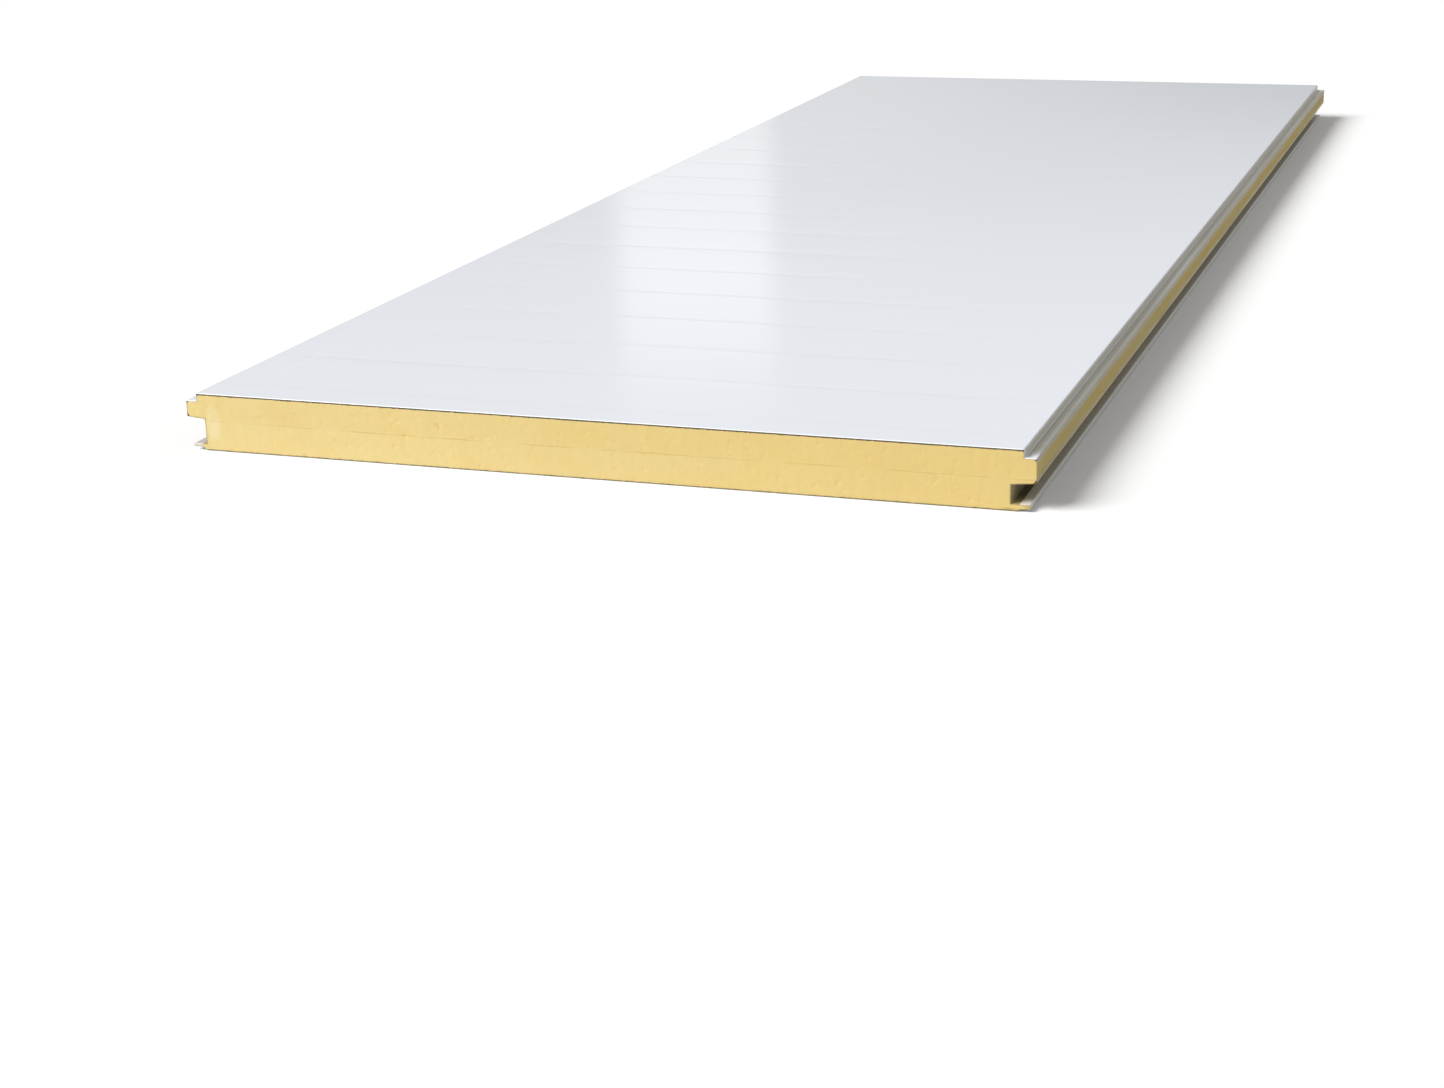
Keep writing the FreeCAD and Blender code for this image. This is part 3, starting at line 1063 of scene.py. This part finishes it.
    def depth(self, x: np.ndarray, z: np.ndarray, seed: int) -> np.ndarray:
        """Depth of the sawn face behind the sheets' ends, in millimetres.

        It is an even depth, torn cells as noise, the saw's waves as a sine across the panel, pits as
        exp(-(distance / radius)²), and a torn groove where the foam meets the two wide sheets.

        Args:
            x: Places across.
            z: Heights, one for each place.
            seed: Number of the end's random pattern.

        Returns:
            The depth at each place.
        """
        s = self.section
        torn = 0.10 * rolling(x / 2.3, z / 2.3, seed) + 0.06 * rolling(x / 19, z / 19, seed + 1)
        saw = 0.04 * np.sin(x / 1.9 + 0.35 * z) * rolling(x / 70, z / 40, seed + 2)
        chance = np.random.default_rng(seed)
        place_x = chance.uniform(-s.tongue_edge, s.tongue_edge, self.pits)
        place_z = chance.uniform(2, s.top - 2, self.pits)
        radius, drop = chance.uniform(0.8, 1.9, self.pits), chance.uniform(0.15, 0.8, self.pits)
        away = (x[:, None] - place_x) ** 2 + (z[:, None] - place_z) ** 2
        pits = (drop * np.exp(-away / radius ** 2)).sum(axis=1)
        to_skin = np.minimum(s.top - s.outer_gauge - z, z - s.inner_gauge)
        groove = (0.5 + 0.4 * rolling(x / 9, z / 9, seed + 3)) * np.exp(-np.maximum(to_skin, 0) / 0.8)
        return np.maximum(self.sunk + torn + saw, self.least) + pits + groove

    def sawn_face(self) -> tuple[np.ndarray, np.ndarray]:
        """The sawn face in section, its blocks joined along their common sides.

        Returns:
            Places of the vertices as X and Z, and vertex numbers of the faces.
        """
        grids = self.middle_blocks()
        for side in self.section.edges:
            grids += self.edge_blocks(side)
        faces, count = [], 0
        for x, _ in grids:
            faces.append(grid_quads(np.arange(count, count + x.size).reshape(x.shape)))
            count += x.size
        flat = np.stack([np.concatenate([grid[axis].ravel() for grid in grids]) for axis in (0, 1)], axis=1)
        _, kept, number = np.unique(np.round(flat, 4), axis=0, return_index=True, return_inverse=True)
        return flat[kept], number.ravel()[np.concatenate(faces)]

    def build(self) -> list[bpy.types.Object]:
        """Makes the block: a sawn face at each end, walls between their rims, and a cast band on each side.

        The rim is made of the edges whose reverse belongs to no other face.

        Returns:
            The block and the two bands.
        """
        half = self.section.half_length
        flat, face = self.sawn_face()
        x, z = flat.T
        front = surface(x, -half + self.depth(x, z, self.front_seed), z)
        back = surface(x, half - self.depth(x, z, self.back_seed), z)
        edges = np.concatenate([face[:, [corner, (corner + 1) % 4]] for corner in range(4)])
        codes, turned = edges @ [len(flat), 1], edges[:, ::-1] @ [len(flat), 1]
        rim = edges[~np.isin(codes, turned)]
        walls = np.stack([rim[:, 1], rim[:, 0], rim[:, 0] + len(flat), rim[:, 1] + len(flat)], axis=1)
        quads = np.concatenate([face, face[:, ::-1] + len(flat), walls])
        block = make_piece(self.name, np.concatenate([front, back]), quads,
                           [self.sawn.material(), self.wall.material()], np.arange(len(quads)) >= 2 * len(face))
        to_margin = self.distance(flat, flat[np.unique(rim)]) / METRE
        layer = block.data.attributes.new(self.sawn.margin, "FLOAT", "POINT")
        layer.data.foreach_set("value", np.tile(to_margin, 2).astype(np.float32))
        cast = self.cast.material()
        return [block, *(self.band(side, cast) for side in Side)]

    def distance(self, places: np.ndarray, others: np.ndarray) -> np.ndarray:
        """Distance from each place to the nearest of the others, worked out in slices to save memory."""
        slices = np.array_split(places, 1 + len(places) // 2000)
        return np.concatenate([np.sqrt(((part[:, None] - others) ** 2).sum(axis=2).min(axis=1))
                               for part in slices])

    def band(self, side: Side, finish: bpy.types.Material) -> bpy.types.Object:
        """Makes the cast skin in the open between the sheet's return and the foil: a low uneven surface.

        Args:
            side: The long edge.
            finish: The cast foam's material.

        Returns:
            The band.
        """
        s, edge = self.section, self.section.edges[side]
        (behind_foil, behind_return), (back, face) = self.band_tuck, self.band_levels
        z = graded([edge.tongue_corner + edge.lap - behind_foil, s.return_foot + behind_return], self.band_cell)
        reach = s.half_length - self.band_end
        y = graded([-reach, reach], self.band_station)[:, None]
        wide, fine = (seed + side.value for seed in self.band_seeds)
        flow = rolling(y / 45, z / 6, wide) + 0.5 * rolling(y / 17, z / 3, fine)
        levels = (s.foam_side + face + self.band_flow * flow, np.full(flow.shape, s.foam_side + back))
        vertices, quads, _ = closed_sheet(*(surface(side.value * level, y, z) for level in levels))
        return make_piece(f"foam_band_{side.name.lower()}", vertices, quads, [finish],
                          np.zeros(len(quads), int))


@dataclass
class EdgeLiner:
    """The foil strip that closes the foam in a groove, from the tongue's side to the return on the lip."""

    section: Section
    side: Side
    foil: EdgeFoil
    slot: str = "edge_strip"
    gauge: float = 0.25
    bend: float = 1.5
    cell: float = 3.0           # across the strip
    station: float = 12.0       # along it
    end: float = 0.15           # how far it stays from the panel's ends
    wander: float = 1.2         # of the free edge up and down
    steady: float = 2.0         # run up from the corner that doesn't wander
    seeds: tuple[int, int] = (71, 72)

    @property
    def node(self) -> str:
        """Name of the solid that the strip replaces."""
        return f"{self.side.name.lower()}_edge_liner"

    def build(self) -> list[bpy.types.Object]:
        """Makes the strip: its line in section at every station, with a free edge that wanders up and down.

        Returns:
            The strip alone.
        """
        s, edge = self.section, self.section.edges[self.side]
        corners = [(s.foam_side, edge.tongue_corner + edge.lap), (s.foam_side, edge.tongue_corner),
                   (edge.groove_back, edge.tongue_root), (edge.groove_back, s.foam_roof),
                   (s.root_edge, s.foam_roof)]
        radii = [self.bend, self.bend + self.gauge, self.bend + self.gauge]
        points, normals = bent_line(corners, radii, self.cell)
        reach = s.half_length - self.end
        y = graded([-reach, reach], self.station)[:, None]
        up = (points[:, 1] - edge.tongue_corner - self.steady) / (edge.lap - self.steady)
        share = np.clip(up, 0, 1) * (points[:, 0] > s.foam_side - 1)
        wide, fine = self.seeds
        lift = self.wander * share * (rolling(y / 70, 0 * y, wide) + 0.5 * rolling(y / 19, 0 * y, fine))
        surfaces = []
        for level in (self.gauge, 0.0):
            x, z = (points[:, axis] + normals[:, axis] * level for axis in (0, 1))
            surfaces.append(surface(x * self.side.value, y, z + lift))
        vertices, quads, _ = closed_sheet(*surfaces)
        return [make_piece(f"{self.side.name.lower()}_edge_foil", vertices, quads, [self.foil.material()],
                           np.zeros(len(quads), int))]


def make_facings(section: Section) -> tuple[FormedSheet, FormedSheet]:
    """The two facings with their finishes.

    Args:
        section: The panel's section.

    Returns:
        The outer facing and the inner one.
    """
    s, right, left = section, section.edges[Side.RIGHT], section.edges[Side.LEFT]
    half_face = [(s.face_edge, s.top), (s.face_edge, s.shelf), (s.tongue_edge, s.shelf),
                 (s.tongue_edge, s.return_foot)]
    outer_corners = [(-x, z) for x, z in half_face[::-1]] + half_face
    inner_corners = [
        (-s.root_edge, s.lip_top), (-s.nose_edge, s.lip_top), (-s.nose_edge, left.lip_under),
        (-s.root_edge, left.lip_under), (left.lip_under - s.root_edge, 0), (s.root_edge - right.lip_under, 0),
        (s.root_edge, right.lip_under), (s.nose_edge, right.lip_under), (s.nose_edge, s.lip_top),
        (s.root_edge, s.lip_top)]
    inner_radii = [left.nose_bend] * 2 + [s.bend] * 4 + [right.nose_bend] * 2

    # Painted shade on the joint faces: warm and dark tints where shade falls in the joint, left out near the
    # shelf's ends, where light reaches in.
    wall_shade = PaintedShade((568.5, 572.0), (69.7, 78.3), (0.94, 0.86, 0.68))
    shelf_shades = (PaintedShade((572.2, 576.6), (68.0, 69.6), (0.61, 0.56, 0.425), lit_end=45.0),
                   PaintedShade((576.8, 584.8), (68.0, 69.6), (0.29, 0.265, 0.18), lit_end=45.0))
    return_shade = PaintedShade((585.2, 587.0), (63.0, 68.3), (0.50, 0.40, 0.24))
    lip_shades = (PaintedShade((564.0, 576.5), (9.2, 10.0), (0.88, 0.84, 0.72), (Side.RIGHT,)),
                 PaintedShade((564.0, 576.5), (9.2, 10.0), (0.62, 0.57, 0.60), (Side.LEFT,)))
    nose_shade = PaintedShade((577.5, 580.0), (2.0, 9.0), (1.0, 0.98, 0.88))

    outer_coating = CoatedSteel("outer_coating", (0.80, 0.83, 0.885), 0.10, SlatMarks(),
                                (wall_shade, *shelf_shades, return_shade), RubbedLine())
    inner_coating = CoatedSteel("inner_coating", (0.84, 0.85, 0.86), 0.22, SlatMarks(first=-1380.0),
                                (*lip_shades, nose_shade))
    # the bright cut edge gets painted shade at the outer facing's top and shelf bends
    bright_cut = CutSteel("sheared_edge", (0.95, 0.95, 0.96), 0.0,
                          ((s.face_edge, s.top), (s.tongue_edge, s.shelf)))
    # painted shade: the inner sheet's cut edge is given a dark colour, for the shade it lies in
    shaded_cut = CutSteel("shaded_edge", (0.40, 0.37, 0.31), 0.4)
    # painted shade: the sheets' hidden sides are made dark
    back_shade = HiddenShade("shaded_back", (0.09, 0.075, 0.05))
    outer = FormedSheet(s, "outer_sheet", "outer_facing", "outer_steel", outer_corners, [s.bend] * 6,
                        s.outer_gauge, Hand.RIGHT, outer_coating, back_shade, bright_cut, -1.0)
    inner = FormedSheet(s, "inner_sheet", "inner_facing", "inner_steel", inner_corners, inner_radii,
                        s.inner_gauge, Hand.LEFT, inner_coating, back_shade, shaded_cut, 1.0)
    return outer, inner


def make_foam(section: Section, over: np.ndarray) -> FoamCore:
    """The foam core with its finishes.

    Args:
        section: The panel's section.
        over: Hidden line of the inner facing.

    Returns:
        The foam core.
    """
    stain = (0.20, 0.155, 0.09)
    smudges = (
        Smudge(-575.0, 6.5, 10.0, 5.0, (0.95, 0.93, 0.82), 0.85),
        Smudge(-577.0, 58.0, 14.0, 14.0, (0.97, 0.79, 0.34), 0.75),
        Smudge(-546.0, 40.0, 12.0, 28.0, (0.98, 0.85, 0.48), 0.7),
        Smudge(576.0, 6.0, 6.0, 4.5, (0.50, 0.34, 0.10), 0.5),
        Smudge(553.0, 1.5, 13.0, 3.5, (0.42, 0.29, 0.10), 0.5))
    sawn = SawnFoam("sawn_foam", left=(0.93, 0.745, 0.34), right=(0.855, 0.655, 0.26), warm=(0.83, 0.59, 0.19),
                    stain=stain, shadow=(0.11, 0.09, 0.055), smudges=smudges)
    cast = CastFoam("cast_foam", (0.70, 0.54, 0.165), (0.56, 0.49, 0.27), stain)
    # painted shade: the foam's walls are made dark, as they show only in the voids
    return FoamCore(section, over, sawn, cast, HiddenShade("foam_wall", (0.12, 0.095, 0.05)))


# Studio -----------------------------------------------------------------------------------------------------


@dataclass(frozen=True)
class GlossRoom:
    """The room that gloss shows: brighter upwards, with a dark screen ahead and a strip light left of it.

    Directions are in degrees: heights above the floor, and azimuths from +Y towards +X.
    """

    levels: Span = (0.56, 0.80)             # brightness low down and high up
    heights: Span = (9.0, 15.0)             # between which it rises
    screen: float = 0.62                    # share of the light that the screen takes
    screen_left: Span = (-17.0, -4.0)
    screen_right: Span = (12.0, 30.0)
    screen_foot: Span = (2.0, 5.0)
    screen_head: Span = (7.2, 9.6)
    strip_left: float = -21.47
    strip_right: float = -17.91
    strip_blur: float = 0.32                # half the softness of its sides
    strip_levels: Span = (0.33, 0.39)       # brightness that the strip adds, low down and high up
    strip_rise: Span = (9.3, 11.3)
    strip_foot: Span = (6.0, 8.0)
    strip_head: Span = (12.3, 15.3)
    halo: float = 0.045                     # brightness that the strip's halo adds
    halo_left: Span = (-24.0, -20.0)
    halo_right: Span = (-18.0, -12.0)
    halo_head: Span = (12.0, 15.0)

    def brightness(self, shader: Shader) -> Value:
        """How bright the room is.

        Args:
            shader: The world's shader.

        Returns:
            The brightness in a ray's direction, where 1 is white.
        """
        azimuth = shader.x.math("ARCTAN2", shader.x, shader.y) * math.degrees(1)
        height = shader.z.math("ARCSINE", shader.z) * math.degrees(1)
        (low, high), (dim, bright), blur = self.levels, self.strip_levels, self.strip_blur
        wall = low + (high - low) * height.rise(*self.heights)
        screen = azimuth.band(self.screen_left, self.screen_right) \
            * height.band(self.screen_foot, self.screen_head)
        strip = azimuth.band((self.strip_left - blur, self.strip_left + blur),
                             (self.strip_right - blur, self.strip_right + blur))
        strip = strip * (dim + (bright - dim) * height.rise(*self.strip_rise))
        strip = strip * height.band(self.strip_foot, self.strip_head)
        halo = self.halo * azimuth.band(self.halo_left, self.halo_right) \
            * height.band(self.strip_foot, self.halo_head)
        return wall * (1 - self.screen * screen) + strip + halo


@dataclass(frozen=True)
class Camera:
    """The camera: standing in front of the near end, right of the middle, looking down along the panel."""

    place: Triple = (1.17656, -4.50644, 0.90759)    # metres
    azimuth: float = math.radians(-19.244)
    pitch: float = math.radians(17.956)             # downwards
    roll: float = -0.0243
    lens: float = 62.06                             # millimetres, as the sensor
    sensor: float = 36.0
    sight: float = 200.0                            # metres

    def build(self) -> None:
        """Makes the camera and sets it as the scene's. Its axes are right, up and backwards, then rolled."""
        ahead = Vector((math.sin(self.azimuth) * math.cos(self.pitch),
                        math.cos(self.azimuth) * math.cos(self.pitch), -math.sin(self.pitch)))
        right = Vector((math.cos(self.azimuth), -math.sin(self.azimuth), 0))
        up = right.cross(ahead)
        across = math.cos(self.roll) * right + math.sin(self.roll) * up
        upward = math.cos(self.roll) * up - math.sin(self.roll) * right
        turned = Matrix((across, upward, -ahead)).transposed().to_4x4()
        data = bpy.data.cameras.new("camera")
        data.lens, data.sensor_width, data.sensor_fit = self.lens, self.sensor, "HORIZONTAL"
        data.clip_end = self.sight
        camera = bpy.data.objects.new("camera", data)
        camera.matrix_world = Matrix.Translation(self.place) @ turned
        bpy.context.scene.collection.objects.link(camera)
        bpy.context.scene.camera = camera


@dataclass(frozen=True)
class Studio:
    """A pale floor, a broad key light from the front left, a dim world with a room in gloss, and the camera."""

    ambient: float = 0.25           # the world's light on the panel
    fill: float = 0.8               # how much more of it comes from the right
    key_strength: float = 3.6
    key_from: Triple = (-0.58, -0.49, 0.65)
    key_angle: float = math.radians(34)
    floor_reach: float = 40.0       # metres
    floor_white: Colour = (0.94, 0.94, 0.94)        # that is seen
    floor_glow: float = 0.08                        # light of its own that is seen with it
    floor_grey: Colour = (0.5, 0.5, 0.5)            # that lights the panel from below
    room: GlossRoom = GlossRoom()
    camera: Camera = Camera()

    def rays(self, shader: Shader, *kinds: str) -> Value:
        """Tells some kinds of rays from the others.

        Args:
            shader: The shader that is asked.
            kinds: One or two outputs of Light Path.

        Returns:
            1 for rays of the given kinds, and 0 for others.
        """
        path = shader.node("ShaderNodeLightPath")
        found = [Value(shader, path.outputs[kind]) for kind in kinds]
        return found[0] if len(found) == 1 else found[0].math("MAXIMUM", *found)

    def floor(self) -> None:
        """Makes a wide floor that looks white and lights the panel from below no more than a grey one would."""
        shader = Shader.material("pale_floor")
        seen = self.rays(shader, "Is Camera Ray", "Is Glossy Ray")
        grain = 0.006 * shader.noise(3.0)
        white = shader.node("ShaderNodeBsdfPrincipled", inputs={
            "Base Color": shader.scaled(self.floor_white, 1 + grain), "Roughness": 0.9,
            "Specular IOR Level": 0.0, "Emission Color": (1, 1, 1), "Emission Strength": self.floor_glow})
        grey = shader.node("ShaderNodeBsdfDiffuse", inputs={"Color": self.floor_grey})
        mixed = shader.node("ShaderNodeMixShader", inputs={0: seen, 1: grey.outputs[0], 2: white.outputs[0]})
        shader.node("ShaderNodeOutputMaterial", inputs={"Surface": mixed.outputs[0]})
        mesh = bpy.data.meshes.new("floor")
        reach = self.floor_reach
        mesh.from_pydata([(-reach, -reach, 0), (reach, -reach, 0), (reach, reach, 0), (-reach, reach, 0)],
                         [], [(0, 1, 2, 3)])
        mesh.materials.append(shader.owner)
        floor = bpy.data.objects.new("floor", mesh)
        bpy.context.scene.collection.objects.link(floor)

    def world(self) -> None:
        """Makes the world: white where the camera sees it, dim as light on the panel, and the room in gloss."""
        world = bpy.data.worlds.new("studio")
        bpy.context.scene.world = world
        shader = Shader(world, unit=1.0)
        seen, gloss = self.rays(shader, "Is Camera Ray"), self.rays(shader, "Is Glossy Ray")
        ambient = self.ambient * (1 + self.fill * shader.x)
        strength = ambient + (1 - ambient) * seen + gloss * (self.room.brightness(shader) - ambient)
        background = shader.node("ShaderNodeBackground", inputs={"Color": (1, 1, 1), "Strength": strength})
        shader.node("ShaderNodeOutputWorld", inputs={"Surface": background.outputs[0]})

    def key(self) -> None:
        """Makes the key light: a broad sun."""
        lamp = bpy.data.lights.new("key", "SUN")
        lamp.energy, lamp.angle = self.key_strength, self.key_angle
        key = bpy.data.objects.new("key", lamp)
        key.matrix_world = Vector(self.key_from).to_track_quat("Z", "Y").to_matrix().to_4x4()
        bpy.context.scene.collection.objects.link(key)

    def build(self) -> None:
        """Sets up the studio."""
        self.floor()
        self.world()
        self.key()
        self.camera.build()
        bpy.context.scene.view_settings.view_transform = "Standard"


def write_sizes() -> None:
    """Brings the view layer up to date."""
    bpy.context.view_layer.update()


def main() -> None:
    """Builds the panel piece by piece, then the studio round it."""
    logging.basicConfig(level=logging.INFO, format="%(message)s")
    section = Section()
    outer, inner = make_facings(section)
    foam = make_foam(section, inner.line()[1])
    foil = EdgeFoil("edge_foil", (0.50, 0.40, 0.18), (0.36, 0.28, 0.13))
    liners = [EdgeLiner(section, side, foil) for side in Side]
    for assembly in (outer, inner, foam, *liners):
        for piece in assembly.build():
            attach(piece, BODY)
            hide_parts(assembly.node)
            log.info("%s: %d faces", piece.name, len(piece.data.polygons))
    Studio().build()
    write_sizes()


if __name__ == "__main__":
    main()
